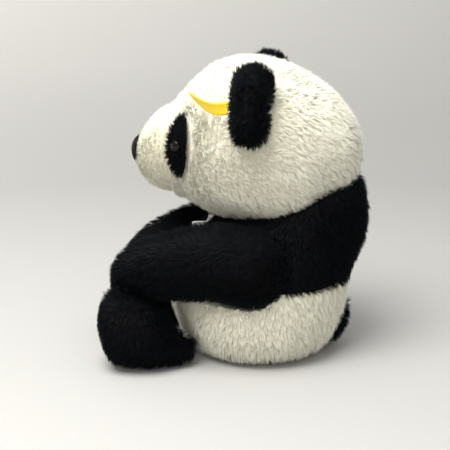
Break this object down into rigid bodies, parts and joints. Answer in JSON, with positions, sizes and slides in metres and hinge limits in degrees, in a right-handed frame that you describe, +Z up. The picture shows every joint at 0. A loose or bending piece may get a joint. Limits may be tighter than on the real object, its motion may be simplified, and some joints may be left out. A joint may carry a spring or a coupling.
{
  "type": "seated plush panda",
  "caption": "Seated soft toy panda with forward arms resting on upright feet, turning head, bending ears, lifting arms, spreading legs and a short tail.",
  "frame": {"origin": "middle of the flat seat, where the toy rests on a floor or shelf", "axes": "+Z up, the face looks towards -Y, the toy's own left side is +X"},
  "size_m": [0.213, 0.246, 0.2748],
  "materials": {
    "white_pile": "long soft off-white plush pile",
    "cream_pile": "short cream plush pile",
    "black_pile": "long black plush pile with a bluish sheen",
    "fibre": "loose white polyester fibre",
    "gloss_black": "polished black",
    "nylon": "moulded nylon",
    "calico": "plain cotton bag filled with pellets",
    "yellow_ribbon": "woven yellow ribbon, blank",
    "white_ribbon": "woven white ribbon, blank",
    "black_thread": "satin-stitched black thread"
  },
  "bodies": {
    "torso": {"back_skin": "black_pile", "chest_skin": "black_pile", "belly_skin": "white_pile", "torso_stuffing": "fibre", "pellet_bag": "calico", "hanging_loop": "white_ribbon"},
    "neck": {"neck_plug": "fibre"},
    "head": {"head_skin": "white_pile", "muzzle_skin": "cream_pile", "chin_skin": "cream_pile", "head_stuffing": "fibre", "nose": "black_thread", "eye_patch_left": "black_pile", "eye_patch_right": "black_pile", "eye_left": "gloss_black", "eye_right": "gloss_black", "eye_washer_left": "nylon", "eye_washer_right": "nylon"},
    "ear_left": {"ear_left_front": "black_pile", "ear_left_back": "black_pile", "ear_label": "yellow_ribbon"},
    "ear_right": {"ear_right_front": "black_pile", "ear_right_back": "black_pile"},
    "arm_left": {"arm_left_skin": "black_pile", "arm_left_stuffing": "fibre"},
    "arm_right": {"arm_right_skin": "black_pile", "arm_right_stuffing": "fibre"},
    "leg_left": {"leg_left_skin": "black_pile", "leg_left_stuffing": "fibre", "sole_left": "black_pile"},
    "leg_right": {"leg_right_skin": "black_pile", "leg_right_stuffing": "fibre", "sole_right": "black_pile"},
    "tail": {"tail": "black_pile"}
  },
  "joints": [
    {"name": "head_turn", "type": "hinge", "parent": "torso", "child": "neck", "pos_m": [0, 0.004, 0.19], "axis": [0, 0, 1], "range_deg": [-22, 35]},
    {"name": "head_nod", "type": "hinge", "parent": "neck", "child": "head", "pos_m": [0, 0.004, 0.19], "axis": [0.9903, -0.1392, 0], "range_deg": [-10, 8]},
    {"name": "ear_left_bend", "type": "hinge", "parent": "head", "child": "ear_left", "pos_m": [0.06216, -0.01281, 0.23474], "axis": [-0.568, 0.0798, 0.8192], "range_deg": [-8, 8]},
    {"name": "ear_right_bend", "type": "hinge", "parent": "head", "child": "ear_right", "pos_m": [-0.06438, 0.00497, 0.23474], "axis": [-0.568, 0.0798, -0.8192], "range_deg": [-8, 8]},
    {"name": "arm_left_lift", "type": "hinge", "parent": "torso", "child": "arm_left", "pos_m": [0.064, -0.015, 0.092], "axis": [-0.7071, 0, 0.7071], "range_deg": [0, 55]},
    {"name": "arm_right_lift", "type": "hinge", "parent": "torso", "child": "arm_right", "pos_m": [-0.064, -0.015, 0.092], "axis": [-0.7071, 0, -0.7071], "range_deg": [0, 55]},
    {"name": "leg_left_spread", "type": "hinge", "parent": "torso", "child": "leg_left", "pos_m": [0.058, -0.077, 0.0155], "axis": [0, 0, 1], "range_deg": [0, 25]},
    {"name": "leg_right_spread", "type": "hinge", "parent": "torso", "child": "leg_right", "pos_m": [-0.058, -0.077, 0.0155], "axis": [0, 0, -1], "range_deg": [0, 25]},
    {"name": "tail_lift", "type": "hinge", "parent": "torso", "child": "tail", "pos_m": [0, 0.072, 0.031], "axis": [1, 0, 0], "range_deg": [0, 25]}
  ]
}
